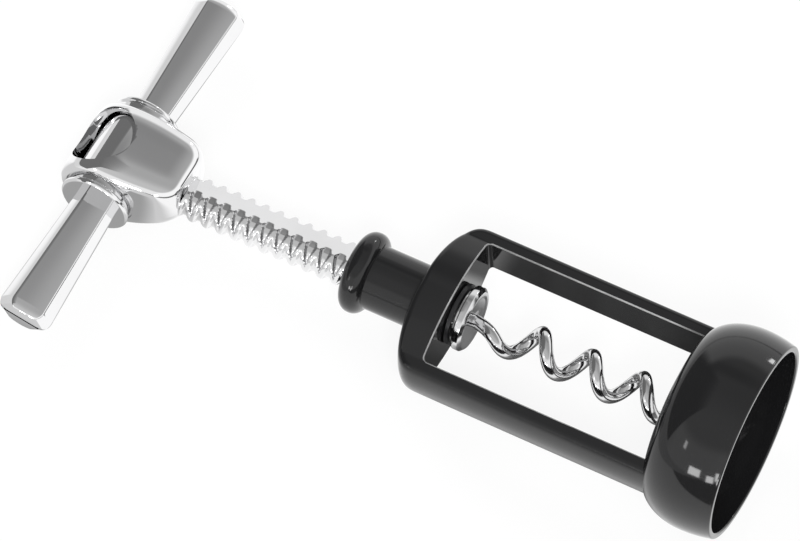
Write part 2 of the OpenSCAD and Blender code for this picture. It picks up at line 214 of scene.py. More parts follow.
def spaced(start, end, count):
    """Numbers from start to end, closer near both of them."""
    return mix(start, end, (1 - np.cos(np.linspace(0, math.pi, count))) / 2)


def turn(points, degrees, first, second):
    """Points turned about an axis, from their first coordinate towards the second."""
    c, s = math.cos(math.radians(degrees)), math.sin(math.radians(degrees))
    out = points.copy()
    out[..., first] = points[..., first] * c - points[..., second] * s
    out[..., second] = points[..., first] * s + points[..., second] * c
    return out


def bend(start, control, end, count):
    """Points on a soft bend between two points, pulled towards a third."""
    shares = np.linspace(0, 1, count)
    return [tuple((1 - t) ** 2 * start + 2 * t * (1 - t) * control + t * t * end) for t in shares]


def rounded(points, closed=False, steps=7):
    """A polyline whose corners (r, s, radius) are replaced by arcs."""
    out, count = [], len(points)
    for i, (r, s, radius) in enumerate(points):
        corner = np.array([r, s], float)
        if radius <= 0 or (not closed and i in (0, count - 1)):
            out.append(corner)
            continue
        a = np.array(points[(i - 1) % count][:2], float) - corner
        b = np.array(points[(i + 1) % count][:2], float) - corner
        length_a, length_b = np.linalg.norm(a), np.linalg.norm(b)
        a, b = a / length_a, b / length_b
        half = math.acos(float(np.clip(a @ b, -1, 1))) / 2
        cut = min(radius / max(math.tan(half), 1e-6), 0.49 * length_a, 0.49 * length_b)
        start, end = corner + a * cut, corner + b * cut
        weight = math.sin(half)
        for t in np.linspace(0, 1, steps + 1):
            # a rational curve that is a true arc
            whole = (1 - t) ** 2 + 2 * weight * t * (1 - t) + t * t
            out.append(((1 - t) ** 2 * start + 2 * weight * t * (1 - t) * corner + t * t * end) / whole)
    return out


# Meshes
def fix_normals(obj):
    bm = bmesh.new()
    bm.from_mesh(obj.data)
    bmesh.ops.recalc_face_normals(bm, faces=bm.faces)
    bm.to_mesh(obj.data)
    bm.free()


def smooth(obj, sharp=32.0):
    """Smooth shading, with creases where faces meet at more than an angle."""
    mesh = obj.data
    mesh.polygons.foreach_set("use_smooth", [True] * len(mesh.polygons))
    mesh.set_sharp_from_angle(angle=math.radians(sharp))
    mesh.update()


def weld(obj):
    bm = bmesh.new()
    bm.from_mesh(obj.data)
    bmesh.ops.remove_doubles(bm, verts=bm.verts, dist=WELD_DISTANCE * MM)
    bm.to_mesh(obj.data)
    bm.free()
    fix_normals(obj)


def new_object(name, verts, faces, sharp=32.0):
    mesh = bpy.data.meshes.new(name)
    mesh.from_pydata([tuple(v) for v in verts], [], [tuple(int(i) for i in f) for f in faces])
    mesh.validate()
    mesh.update()
    obj = bpy.data.objects.new(name, mesh)
    scene.collection.objects.link(obj)
    fix_normals(obj)
    smooth(obj, sharp)
    return obj


def grid(points, ring=False):
    """Vertices and faces of rows of points in millimetres. Each row is closed, and the rows end in caps,
    or run round in a ring."""
    rows, columns = points.shape[:2]
    faces = []
    for i in range(rows if ring else rows - 1):
        for j in range(columns):
            here, there = i * columns, (i + 1) % rows * columns
            after = (j + 1) % columns
            faces.append((here + j, here + after, there + after, there + j))
    if not ring:
        faces.append(tuple(range(columns - 1, -1, -1)))
        faces.append(tuple((rows - 1) * columns + j for j in range(columns)))
    return points.reshape(-1, 3) * MM, faces


def lathe(name, profile, segments=192):
    """A piece turned about the spindle axis from (radius, station) points."""
    radius, station = np.array([[p[0], p[1]] for p in profile]).T
    angle = np.linspace(0, 2 * math.pi, segments, endpoint=False)[:, None]
    points = np.stack([-station + 0 * angle, radius * np.cos(angle), radius * np.sin(angle)], -1)
    obj = new_object(name, *grid(points, ring=True))
    weld(obj)
    return obj


def cutter(name, radius, start, end):
    """A round cutter between two points in millimetres."""
    start, end = Vector(start) * MM, Vector(end) * MM
    axis = end - start
    bm = bmesh.new()
    bmesh.ops.create_cone(
        bm, cap_ends=True, segments=160, radius1=radius * MM, radius2=radius * MM, depth=axis.length
    )
    facing = axis.to_track_quat("Z", "Y").to_matrix().to_4x4()
    bmesh.ops.transform(bm, matrix=Matrix.Translation((start + end) / 2) @ facing, verts=bm.verts)
    mesh = bpy.data.meshes.new(name)
    bm.to_mesh(mesh)
    bm.free()
    obj = bpy.data.objects.new(name, mesh)
    scene.collection.objects.link(obj)
    return obj


def apply_all(obj):
    deps = bpy.context.evaluated_depsgraph_get()
    mesh = bpy.data.meshes.new_from_object(obj.evaluated_get(deps))
    old = obj.data
    obj.modifiers.clear()
    obj.data = mesh
    bpy.data.meshes.remove(old)


def carve(obj, cutters, edge=0.0):
    """Takes the cutters out of a piece, and rounds its sharp edges by a width."""
    for tool in cutters:
        cut = obj.modifiers.new("cut", "BOOLEAN")
        cut.operation, cut.solver, cut.object = "DIFFERENCE", "EXACT", tool
    apply_all(obj)
    for tool in cutters:
        mesh = tool.data
        bpy.data.objects.remove(tool)
        bpy.data.meshes.remove(mesh)
    if edge:
        bevel = obj.modifiers.new("edge", "BEVEL")
        bevel.width, bevel.segments = edge * MM, EDGE_STEPS
        bevel.limit_method, bevel.angle_limit = "ANGLE", math.radians(EDGE_ANGLE)
        bevel.miter_outer = "MITER_ARC"
        bevel.use_clamp_overlap = True
        apply_all(obj)
    smooth(obj)


class Tree:
    """Short calls that build a node tree."""

    def __init__(self, owner, clear=True):
        owner.use_nodes = True
        self.nodes, self.links = owner.node_tree.nodes, owner.node_tree.links
        if clear:
            self.nodes.clear()

    def put(self, value, socket):
        if isinstance(value, bpy.types.NodeSocket):
            self.links.new(value, socket)
        else:
            socket.default_value = value

    def node(self, kind, **values):
        """A node. Each value is a setting of it, or goes to the input of that name."""
        made = self.nodes.new("ShaderNode" + kind)
        for key, value in values.items():
            if hasattr(made, key):
                setattr(made, key, value)
            else:
                self.put(value, made.inputs[key.replace("_", " ")])
        return made

    def coordinates(self, kind):
        return self.node("SeparateXYZ", Vector=self.node("TexCoord").outputs[kind]).outputs

    def maths(self, operation, *values):
        made = self.node("Math", operation=operation)
        for value, socket in zip(values, made.inputs):
            self.put(value, socket)
        return made.outputs[0]

    def remap(self, value, low, high, start=0.0, end=1.0, kind="LINEAR"):
        """A value carried from the range low to high over to the range start to end."""
        made = self.node("MapRange", interpolation_type=kind, Value=value)
        for key, number in (("From Min", low), ("From Max", high), ("To Min", start), ("To Max", end)):
            made.inputs[key].default_value = number
        return made.outputs["Result"]

    def step(self, value, low, high, start=0.0, end=1.0):
        return self.remap(value, low, high, start, end, "SMOOTHSTEP")

    def between(self, value, low, high, soft):
        rise = self.step(value, low - soft, low + soft)
        return self.maths("MULTIPLY", rise, self.step(value, high + soft, high - soft))

    def patch(self, a, b, a_range, b_range, a_soft, b_soft):
        """1 in a soft-edged rectangle of two values, 0 outside it."""
        return self.maths("MULTIPLY", self.between(a, *a_range, a_soft), self.between(b, *b_range, b_soft))

    def blend(self, start, end, share):
        return self.maths("MULTIPLY_ADD", self.maths("SUBTRACT", end, start), share, start)

    def join(self, kind, *shaders):
        """A Mix Shader of a share and two shaders, or an Add Shader of two."""
        made = self.node(kind)
        for value, socket in zip(shaders, made.inputs):
            self.put(value, socket)
        return made.outputs[0]

    def white(self, kind, strength):
        return self.node(kind, Color=(1, 1, 1, 1), Strength=strength).outputs[0]

    def diffuse(self, level):
        return self.node("BsdfDiffuse", Color=(level, level, level, 1)).outputs[0]


# Materials
# The scales of the broad patches, the hairlines and the patches of the painted edge highlight are shares of
# a material's scale
BROAD_SHARE = 0.12
HAIR_SHARE = 0.5
HIGHLIGHT_PATCH_SHARE = 0.3
HAIR_TILT = (0.4, 0.7, 0.5)
HAIR_STRETCH = (1.0, 14.0, 9.0)
HAIR_RANGE = (0.62, 0.72)
# the painted edge highlight: the noise range that sets its patches, its least strength, and the roughness
# it adds
HIGHLIGHT_PATCH_RANGE = (0.35, 0.6)
HIGHLIGHT_LEAST = 0.45
HIGHLIGHT_DULLNESS = 0.3


def material(name, colour, metallic, rough, spread, bump, scale, tint, specular=0.5, hairs=0.0, edge_highlight=0.0):
    """A surface with patchy colour, uneven roughness and fine bumps, and with hairlines and painted edge
    highlights where they are asked for. The scale counts its finest marks in a metre, the bump is in
    millimetres."""
    mat = bpy.data.materials.new(name)
    tree = Tree(mat, clear=False)
    shader = tree.nodes["Principled BSDF"]
    shader.inputs["Metallic"].default_value = metallic
    shader.inputs["Specular IOR Level"].default_value = specular
    place = tree.node("TexCoord").outputs["Object"]

    def noise(frequency, detail, roughness=0.55, vector=place):
        made = tree.node("TexNoise", Scale=frequency, Detail=detail, Roughness=roughness, Vector=vector)
        return made.outputs["Fac"]

    ramp = tree.node("ValToRGB", Fac=noise(scale * BROAD_SHARE, 3.0))
    for stop, position, side in zip(ramp.color_ramp.elements, (0.3, 0.7), (-1, 1)):
        stop.position = position
        stop.color = (*(c * (1 + side * tint) for c in colour), 1)
    base = ramp.outputs["Color"]
    fine = noise(scale, 5.0)
    roughness = tree.remap(fine, 0.0, 1.0, rough - spread, rough + spread)
    if hairs:
        # fine hairlines of handling wear, seen only as a change of roughness
        stretched = tree.node("Mapping", Rotation=HAIR_TILT, Scale=HAIR_STRETCH, Vector=place)
        lines = noise(scale * HAIR_SHARE, 6.0, 0.5, stretched.outputs["Vector"])
        roughness = tree.maths("ADD", roughness, tree.remap(lines, *HAIR_RANGE, 0.0, hairs))
    if edge_highlight:
        # edges marked with the attribute get a painted highlight: a paler colour, and they are duller
        mark = tree.node("Attribute", attribute_name="painted_highlight").outputs["Fac"]
        highlight_patchiness = tree.remap(noise(scale * HIGHLIGHT_PATCH_SHARE, 2.0), *HIGHLIGHT_PATCH_RANGE, HIGHLIGHT_LEAST)
        amount = tree.maths("MULTIPLY", mark, highlight_patchiness)
        pale = tree.node("Mix", data_type="RGBA")
        for index, value in ((0, amount), (6, base), (7, (edge_highlight, edge_highlight, edge_highlight, 1))):
            tree.put(value, pale.inputs[index])
        base = pale.outputs[2]
        roughness = tree.maths("MULTIPLY_ADD", amount, HIGHLIGHT_DULLNESS, roughness)
    bumps = tree.node("Bump", Strength=1.0, Distance=bump * MM, Height=fine)
    tree.put(base, shader.inputs["Base Color"])
    tree.put(roughness, shader.inputs["Roughness"])
    tree.put(bumps.outputs["Normal"], shader.inputs["Normal"])
    return mat


CHROME = material("chrome_plate", (0.78, 0.78, 0.785), 1.0, 0.045, 0.02, 0.0012, 500.0, 0.02, hairs=0.05)
WORM = material("bright_worm", (0.66, 0.66, 0.665), 1.0, 0.11, 0.03, 0.002, 600.0, 0.04, hairs=0.08)
THREAD = material("chrome_thread", (0.72, 0.72, 0.725), 1.0, 0.07, 0.03, 0.004, 700.0, 0.03, hairs=0.06)
NYLON = material("black_nylon", (0.022, 0.022, 0.023), 0.0, 0.42, 0.08, 0.006, 900.0, 0.08)
STEEL = material("pin_steel", (0.5, 0.5, 0.51), 1.0, 0.28, 0.08, 0.003, 1400.0, 0.06, hairs=0.1)
MOULDED = {
    "colour": (0.0095, 0.0095, 0.0100),
    "metallic": 0.0,
    "rough": 0.07,
    "spread": 0.02,
    "bump": 0.0005,
    "scale": 350.0,
    "tint": 0.06,
    "specular": 0.42,
    "hairs": 0.04,
}
BLACK = material("black_gloss", **MOULDED)
# the same black, with painted highlight lines on the edges that carry the attribute
BLACK_HIGHLIGHT_EDGE = material("black_gloss_edge_highlight", **MOULDED, edge_highlight=0.42)


def dress(obj, mat, body, node):
    """Gives a piece its material and the body it rides on, and hides the CAD node that it replaces."""
    obj.data.materials.clear()
    obj.data.materials.append(mat)
    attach(obj, body)
    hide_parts(node)


# Bell
def bell_profile():
    seat = BELL_LENGTH - SEAT_THICKNESS
    points = []
    # the rounded rim, from its inner edge to its outer one
    for outer in (0, 1):
        middle = mix(MOUTH_INNER_RADIUS + MOUTH_ROUNDING, MOUTH_OUTER_RADIUS - MOUTH_ROUNDING, outer)
        for angle in np.linspace(0, math.pi / 2, 8) + outer * math.pi / 2:
            station = MOUTH_ROUNDING - MOUTH_ROUNDING * math.sin(angle)
            points.append((middle - MOUTH_ROUNDING * math.cos(angle), station))
    # the outside, up to the crest and round to the back
    for t in np.linspace(0, 1, 24)[1:]:
        radius = mix(MOUTH_OUTER_RADIUS, BELL_RADIUS, 1 - (1 - t) ** 2)
        points.append((radius, mix(MOUTH_ROUNDING, BELL_CREST, t)))
    for t in np.linspace(0, 1, 36)[1:]:
        angle = t * math.pi / 2
        radius = mix(BELL_BACK_RADIUS, BELL_RADIUS, math.cos(angle))
        points.append((radius, mix(BELL_CREST, BELL_LENGTH, math.sin(angle))))
    # the throat and the seat
    points += rounded([
        (BELL_BACK_RADIUS - SEAT_FLAT, BELL_LENGTH, 0),
        (THROAT_RADIUS, BELL_LENGTH, 0.35),
        (THROAT_RADIUS, seat, 0.25),
        (SEAT_RADIUS - SEAT_FLAT, seat, 0),
    ])
    # the inside, from the seat to the mouth
    for t in np.linspace(1, 0, 30):
        angle = t * math.pi / 2
        radius = mix(SEAT_RADIUS, BELL_RADIUS - BELL_WALL, math.cos(angle))
        points.append((radius, mix(BELL_CREST, seat, math.sin(angle))))
    return points


dress(lathe("bell", bell_profile(), 256), BLACK, "frame", "frame")

# Cage
CROWN_RISE = CROWN_HALF_HEIGHT - POST_HALF_HEIGHT
CROWN_RADIUS = (WINDOW_HALF_WIDTH**2 + CROWN_RISE**2) / (2 * CROWN_RISE)


def face_height(y):
    """Half the cage's thickness: flat posts, and a bridge with crowned faces."""
    y = np.abs(y)
    crown = CROWN_HALF_HEIGHT - CROWN_RADIUS + np.sqrt(np.maximum(CROWN_RADIUS**2 - y * y, 0))
    return np.where(y < WINDOW_HALF_WIDTH, crown, POST_HALF_HEIGHT)


def cage_rim():
    """The curve on which the shoulder's dome meets the front face, from the post to the middle."""
    last = (1 - (CROWN_HALF_HEIGHT / CAGE_RADIUS) ** 2) ** (1 / SHOULDER_FULLNESS)
    t = np.linspace(0, last, 1500)
    radius = CAGE_RADIUS * np.sqrt(1 - t**SHOULDER_FULLNESS)
    low, high = np.zeros_like(t), np.full_like(t, CAGE_RADIUS)
    for _ in range(50):
        y = (low + high) / 2
        outside = y * y + face_height(y) ** 2 > radius**2
        high, low = np.where(outside, y, high), np.where(outside, low, y)
    y = (low + high) / 2
    y[-1] = 0
    run = np.concatenate([[0], np.cumsum(np.hypot(np.diff(y), np.diff(t) * SHOULDER_LENGTH))])
    return BRIDGE_STATION + SHOULDER_LENGTH * t, y, radius, run


def cage_places():
    """Where the cage's cross sections stand, from the bell to the middle of the bridge: the station and
    half width of the outer edge, the dome's radius, the way in from that edge, the point on the window's
    wall, and the way out of the wall."""
    stations, widths, radii, run = cage_rim()
    nearby, middle = 0.05, 0.3

    def at(length):
        station, y, radius = (float(np.interp(length, run, v)) for v in (stations, widths, radii))
        before, after = max(length - nearby, 0), min(length + nearby, run[-1])
        ds = float(np.interp(after, run, stations) - np.interp(before, run, stations))
        dy = float(np.interp(after, run, widths) - np.interp(before, run, widths))
        size = math.hypot(ds, dy)
        return station, y, radius, (dy / size, -ds / size) if y > middle else (-1.0, 0.0)

    places = []
    post_y = math.sqrt(CAGE_RADIUS**2 - POST_HALF_HEIGHT**2)
    corner = (BRIDGE_STATION - WINDOW_CORNER, WINDOW_HALF_WIDTH - WINDOW_CORNER)
    for s in np.linspace(BELL_LENGTH - POST_OVERLAP, corner[0], 70):
        places.append((s, post_y, CAGE_RADIUS, (0.0, -1.0), (s, WINDOW_HALF_WIDTH), (0.0, 1.0)))
    for t in np.linspace(0, 1, 13)[1:]:
        way = (math.sin(t * math.pi / 2), math.cos(t * math.pi / 2))
        wall = (corner[0] + WINDOW_CORNER * way[0], corner[1] + WINDOW_CORNER * way[1])
        places.append((*at(CORNER_SWEEP * t), wall, way))
    for t in np.linspace(0, 1, 81)[1:]:
        wall = (BRIDGE_STATION, mix(corner[1], 0, t))
        places.append((*at(mix(CORNER_SWEEP, run[-1], t)), wall, (1.0, 0.0)))
    return places


def cage_ring(station, y, radius, inward, wall, outward):
    """One closed cross section: front face, outer side, back face and window wall, with rounded edges."""
    wall_height = float(face_height(wall[1]))
    edge = np.array(wall) + np.array(outward) * WINDOW_EDGE
    rim = np.array([station, y]) + np.array(inward) * RIM_ROUNDING
    rim_height = float(face_height(y))
    low = rim_height - RIM_DROP

    def outer_y(z):
        return math.sqrt(max(radius * radius - z * z, 0))

    def face(sign):
        points = [mix(edge, rim, t) for t in (0, 0.04, *np.linspace(0.12, 0.88, 9), 0.96, 1)]
        return [(p[0], p[1], sign * float(face_height(p[1]))) for p in points]

    def outer_edge(sign):
        top = np.array([*rim, sign * float(face_height(rim[1]))])
        side = np.array([station, outer_y(low), sign * low])
        return bend(top, np.array([station, y, sign * rim_height]), side, 10)[1:]

    def window_edge(sign):
        top = np.array([*edge, sign * float(face_height(edge[1]))])
        side = np.array([*wall, sign * (wall_height - WINDOW_EDGE)])
        return bend(side, np.array([*wall, sign * wall_height]), top, 6)[:-1]

    hold = wall_height - WINDOW_EDGE - WALL_HOLD
    ring = face(1) + outer_edge(1)
    ring += [(station, outer_y(z), z) for z in np.linspace(low, -low, 18)[1:-1]]
    ring += outer_edge(-1)[::-1] + face(-1)[::-1] + window_edge(-1)[::-1]
    ring += [(*wall, -hold), (*wall, hold)]
    return ring + window_edge(1)


def cage_points():
    """The cage as one bent bar: up one post, over the bridge and down the other."""
    half = np.array([cage_ring(*place) for place in cage_places()])
    other = half[::-1].copy()
    other[..., 1] *= -1
    full = np.concatenate([half, other[1:]])
    full[..., 0] *= -1
    return turn(full, CAGE_TURN, 1, 2)


def mark_painted_highlight(obj):
    """Marks the small rounded edges round the cage's window, which get painted highlight lines."""
    flat = np.empty(len(obj.data.vertices) * 3)
    obj.data.vertices.foreach_get("co", flat)
    x, y, z = turn(flat.reshape(-1, 3) / MM, -CAGE_TURN, 1, 2).T
    over, past = np.abs(y) - WINDOW_HALF_WIDTH + WINDOW_CORNER, -x - BRIDGE_STATION + WINDOW_CORNER
    into = np.hypot(np.maximum(over, 0), np.maximum(past, 0)) + np.minimum(np.maximum(over, past), 0)
    into -= WINDOW_CORNER
    below = face_height(y) - np.abs(z)
    low, high = HIGHLIGHT_EDGE_FROM, WINDOW_EDGE * HIGHLIGHT_EDGE_REACH
    mark = (into > low) & (into < high) & (below > low) & (below < high)
    layer = obj.data.attributes.new("painted_highlight", "FLOAT", "POINT")
    layer.data.foreach_set("value", mark.astype(float))


cage = new_object("cage", *grid(cage_points()))
weld(cage)
shoulder_top = BRIDGE_STATION + SHOULDER_LENGTH + 2 * CUT_PAST
carve(cage, [cutter("bore", BORE_RADIUS, (CUT_PAST - BRIDGE_STATION, 0, 0), (-shoulder_top, 0, 0))])
# the window's rounded edges carry painted highlight lines
mark_painted_highlight(cage)
dress(cage, BLACK_HIGHLIGHT_EDGE, "frame", "frame")


# Neck
def neck_profile():
    start, end = BRIDGE_STATION + NECK_INSET, BEAD_STATION + BEAD_LENGTH
    points = [
        (BORE_RADIUS, start, 0),
        (NECK_RADIUS, start, 0),
        (NECK_RADIUS, BEAD_STATION + STEP_LEAN, 0.12),
    ]
    for angle in np.linspace(BEAD_FROM, BEAD_TO, 40):
        middle = end - BEAD_ROUNDING if angle > math.pi / 2 else BEAD_STATION + BEAD_ROUNDING
        radius = BEAD_RADIUS - BEAD_ROUNDING * (1 - math.sin(angle))
        points.append((radius, middle - BEAD_ROUNDING * math.cos(angle), 0))
    points += [(BORE_RADIUS + BORE_CHAMFER, end, 0), (BORE_RADIUS, end - BORE_CHAMFER, 0)]
    return rounded(points, steps=12)


dress(lathe("neck", neck_profile()), BLACK, "frame", "frame")

# Hidden pieces, which keep their CAD shape
for name, mat, slot in (
    ("guide_bush", NYLON, "black_nylon"),
    ("thrust_washer", NYLON, "black_nylon"),
    ("worm_pin", STEEL, "pin_steel"),
    ("hub_pin", STEEL, "pin_steel"),
):
    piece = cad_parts[name]
    piece.data.materials.clear()
    piece.data.materials.append(mat)


# Worm and flange
def worm_angle(turns):
    slow = LEAD_IN * (1 - (1 - np.clip(turns / LEAD_IN, 0, 1) ** LEAD_POWER) / LEAD_POWER)
    return np.radians(WORM_TURN + 360 * np.maximum(slow, turns))


def worm_centre(turns):
    radius = COIL_RADIUS * np.sin(np.clip(turns / SWING, 0, 1) * math.pi / 2)
    angle = worm_angle(turns)
    forward = -FLANGE_STATION + turns * WORM_PITCH
    return np.stack([forward, radius * np.cos(angle), radius * np.sin(angle)], -1)


def worm_points():
    count = (FLANGE_STATION - TIP_STATION) / WORM_PITCH
    nearby = 0.005
    turns = np.linspace(0, count, 420)
    centre = worm_centre(turns)
    along = worm_centre(turns + nearby) - worm_centre(turns - nearby)
    along /= np.linalg.norm(along, axis=1, keepdims=True)
    angle = worm_angle(turns)
    radial = np.stack([0 * angle, np.cos(angle), np.sin(angle)], -1)
    side = np.cross(along, radial)
    side /= np.linalg.norm(side, axis=1, keepdims=True)
    out = np.cross(side, along)
    left = (count - turns) / TIP_TURN
    wire = WIRE_RADIUS * WIRE_SKIN
    radius = np.where(left >= 1, wire, mix(TIP_RADIUS, wire, np.sqrt(np.clip(left, 0, 1))))
    around = np.linspace(0, 2 * math.pi, 40, endpoint=False)[None, :, None]
    ring = np.cos(around) * out[:, None] + np.sin(around) * side[:, None]
    return centre[:, None] + radius[:, None, None] * ring


dress(new_object("worm_coil", *grid(worm_points())), WORM, "spindle", "worm")

flange_back = FLANGE_STATION + FLANGE_THICKNESS
flange_profile = rounded([
    (WIRE_RADIUS - WIRE_LAP, FLANGE_STATION, 0),
    (DISH_INNER_RADIUS, FLANGE_STATION + DISH_DEPTH, 0.2),
    (DISH_OUTER_RADIUS, FLANGE_STATION + DISH_DEPTH, 0.2),
    (DISH_RIM_RADIUS, FLANGE_STATION, 0.25),
    (FLANGE_RADIUS - FLANGE_CHAMFER, FLANGE_STATION, 0.25),
    (FLANGE_RADIUS, FLANGE_STATION + FLANGE_CHAMFER, 0.3),
    (FLANGE_RADIUS, flange_back, 0.3),
    (STEP_RADIUS, flange_back + STEP_LEAN, 0.1),
    (STEP_RADIUS, STEP_END, 0.15),
    (WIRE_RADIUS - WIRE_LAP, STEP_END, 0),
], steps=6)
dress(lathe("flange", flange_profile, 160), WORM, "spindle", "worm_flange")


# Shaft
def ridge(turns):
    """How high a ridge stands, from 0 in the groove to 1 on top."""
    off = np.abs(2 * (turns - np.floor(turns)) - 1)
    return ease((RIDGE_SHARE + FLANK_SHARE - off) / (2 * FLANK_SHARE))


def shaft_points():
    """A round shaft with two flats, and with ridges of both hands that cross between them."""
    root = SHAFT_RADIUS - THREAD_DEPTH
    sector = math.degrees(math.asin(FLAT_HEIGHT / root))
    threaded = np.linspace(-sector, sector, 49)
    flat = np.linspace(sector, 180 - sector, 9)[1:-1]
    angles = np.concatenate([threaded, flat, threaded + 180, flat + 180])
    top = HANDLE_STATION - HUB_REACH + SHAFT_IN_HUB
    plain = np.linspace(STEP_END + SHAFT_GAP, THREAD_STATION - THREAD_START_GAP, 12)
    stations = np.concatenate([plain, np.linspace(THREAD_STATION, top, 280)])
    station, angle = np.meshgrid(stations, angles, indexing="ij")
    # the angle from the middle of the nearer threaded side
    local = 90 - (90 - angle) % 180
    turns = (station - THREAD_STATION) / THREAD_PITCH + THREAD_PHASE
    shift = THREAD_STARTS * (local + CROSS_ANGLE) / 360
    height = np.maximum(ridge(turns + shift), ridge(turns - shift))
    radius = np.where(station < THREAD_STATION, SHAFT_RADIUS, mix(root, SHAFT_RADIUS, height))
    across = np.maximum(np.abs(np.sin(np.radians(local))), FLAT_HEIGHT / (2 * SHAFT_RADIUS))
    radius = np.minimum(radius, FLAT_HEIGHT / across)
    world = np.radians(angle + SHAFT_TURN)
    return np.stack([-station, radius * np.cos(world), radius * np.sin(world)], -1)


dress(new_object("shaft", *grid(shaft_points()), sharp=38.0), THREAD, "spindle", "spindle_shaft")


# Hub
def hub_points():
    """A block that is round at its closed end and tapers to a rounded nose, with squarish sections."""
    # the last section is just short of the end, where the block would have no height
    forward = spaced(HUB_REACH, -HUB_END_RADIUS * HUB_LAST_SECTION, 110)
    reach = np.clip(forward / HUB_REACH, 0, 1)
    taper = reach**HUB_TAPER_POWER
    nose = quarter(np.clip((forward - HUB_REACH + NOSE_LENGTH) / NOSE_LENGTH, 0, 1))
    behind = np.clip((-forward - END_CORNER) / (HUB_END_RADIUS - END_CORNER), 0, 1)
    end = np.sqrt(np.maximum(HUB_END_RADIUS**2 - forward**2, 0))
    width = np.where(
        forward < 0,
        HUB_HALF_WIDTH - END_ROUNDING * quarter(behind),
        mix(HUB_HALF_WIDTH, NOSE_HALF_WIDTH, taper) - NOSE_SIDE_ROUNDING * nose,
    )
    top = np.where(forward < 0, end, mix(HUB_END_RADIUS, NOSE_TOP, taper) - NOSE_TOP_ROUNDING * nose)
    low = np.where(forward < 0, end, mix(HUB_END_RADIUS, NOSE_LOW, taper) - NOSE_LOW_ROUNDING * nose)
    columns = 176
    around = np.linspace(0, 2 * math.pi, columns, endpoint=False) + math.pi / columns
    c, s = np.cos(around), np.sin(around)
    upper = 2 / mix(END_SQUARENESS, NOSE_TOP_SQUARENESS, reach)[:, None]
    lower = 2 / mix(END_SQUARENESS, NOSE_LOW_SQUARENESS, reach)[:, None]
    power = np.where(s > 0, upper, lower)
    x = np.repeat((forward - HANDLE_STATION)[:, None], columns, 1)
    y = width[:, None] * np.sign(c) * np.abs(c) ** power
    z = np.where(s > 0, top[:, None], low[:, None]) * np.sign(s) * np.abs(s) ** power
    return np.stack([x, y + HEAD_OFFSET, z], -1)


hub = new_object("hub_body", *grid(hub_points()))
lean = math.radians(HUB_WINDOW_LEAN)
window_end = (-HANDLE_STATION - CUT_REACH * math.sin(lean), HEAD_OFFSET, CUT_REACH * math.cos(lean))
carve(hub, [
    cutter("cross", CROSS_BORE_RADIUS, (-HANDLE_STATION, -CUT_REACH, 0), (-HANDLE_STATION, CUT_REACH, 0)),
    cutter("view", HUB_WINDOW_RADIUS, (-HANDLE_STATION, HEAD_OFFSET, 0), window_end),
    cutter("spigot", SPIGOT_RADIUS, (HUB_REACH + CUT_PAST - HANDLE_STATION, 0, 0), (-HANDLE_STATION, 0, 0)),
], edge=HUB_EDGE)
dress(hub, CHROME, "spindle", "hub")


# Handle
def bar_ring(y):
    """One cross section of the bar: eight sides, the two broad ones slightly pillowed."""
    root = BAR_HALF_LENGTH - BAR_END
    t = min(max(abs(y) - COLLAR_END, 0) / (root - COLLAR_END), 1)
    inset = BAR_END_INSET * quarter(max(abs(y) - root, 0) / BAR_END)
    face = mix(FACE_ROOT_HALF_WIDTH, FACE_END_HALF_WIDTH, t) - inset
    full = mix(BAR_ROOT_HALF_WIDTH, BAR_END_HALF_WIDTH, t) - inset
    top = BAR_HALF_THICKNESS - FACE_CROWN / 2 - inset / 2
    fall = BEVEL_SHARE * BAR_HALF_THICKNESS / (BAR_ROOT_HALF_WIDTH - FACE_ROOT_HALF_WIDTH)
    middle = top - (full - face) * fall
    crown = [(u * face, top + FACE_CROWN * (1 - u * u), 0.0) for u in CROWN_SHARES]
    upper = [
        (full, middle, BEVEL_ROUNDING),
        (face, top, FACE_ROUNDING),
        *crown,
        (-face, top, FACE_ROUNDING),
        (-full, middle, BEVEL_ROUNDING),
    ]
    lower = [(-x, -z, rounding) for x, z, rounding in upper]
    return [(x, y, z) for x, z in rounded(upper + lower, closed=True, steps=5)]


def bar_points():
    root = BAR_HALF_LENGTH - BAR_END
    arm = np.linspace(COLLAR_END, root, 16)
    tip = spaced(root, BAR_HALF_LENGTH, 12)[1:]
    stations = np.concatenate([-tip[::-1], -arm[::-1], [0.0], arm, tip])
    points = turn(np.array([bar_ring(y) for y in stations]), BAR_TURN, 2, 0)
    return points + np.array([BAR_FORWARD - HANDLE_STATION, HEAD_OFFSET + BAR_SHIFT, 0.0])


dress(new_object("bar", *grid(bar_points()), sharp=40.0), CHROME, "spindle", "handle_bar")

collar = [
    (CORE_RADIUS, SEAT_START - 2 * STEP_LEAN, 0.1),
    (CROSS_BORE_RADIUS - COLLAR_GAP, SEAT_START, 0.15),
    (CROSS_BORE_RADIUS - COLLAR_GAP, SEAT_END, 0.15),
    (COLLAR_RADIUS, SEAT_END + STEP_LEAN, 0.1),
    (COLLAR_RADIUS, DRUM_END, 0.15),
    (COLLAR_LIP_RADIUS, DRUM_END + COLLAR_LIP_STEP, 0.2),
    (COLLAR_LIP_RADIUS, COLLAR_END - COLLAR_LIP_STEP, 0.3),
    (COLLAR_LIP_RADIUS - COLLAR_LIP_STEP, COLLAR_END, 0.3),
    (0.0, COLLAR_END, 0),
]
other_collar = [(radius, -station, rounding) for radius, station, rounding in collar[::-1]]
drum = lathe("drum", rounded(other_collar + collar, steps=6), 160)
# from the spindle axis to the handle axis
for v in drum.data.vertices:
    v.co = (v.co[1] - HANDLE_STATION * MM, HEAD_OFFSET * MM - v.co[0], v.co[2])
fix_normals(drum)
smooth(drum)
dress(drum, CHROME, "spindle", "handle_bar")

# Stage. From here on places are in metres.
FLOOR_HALF = 3.0
FLOOR_GAP = 0.00005
FLOOR_TILT = (BELL_RADIUS - HUB_END_RADIUS) / (HANDLE_STATION - BELL_CREST)
BOARD_X = -0.3
BOARD_Y = (-0.23, 0.3)
BOARD_Z = (0.06, 1.1)
BOARD_LEVEL = 0.18
BOARD_TOP_FADE = (0.4, 1.1)
BOARD_SIDE_FADE = (0.2, 0.3)

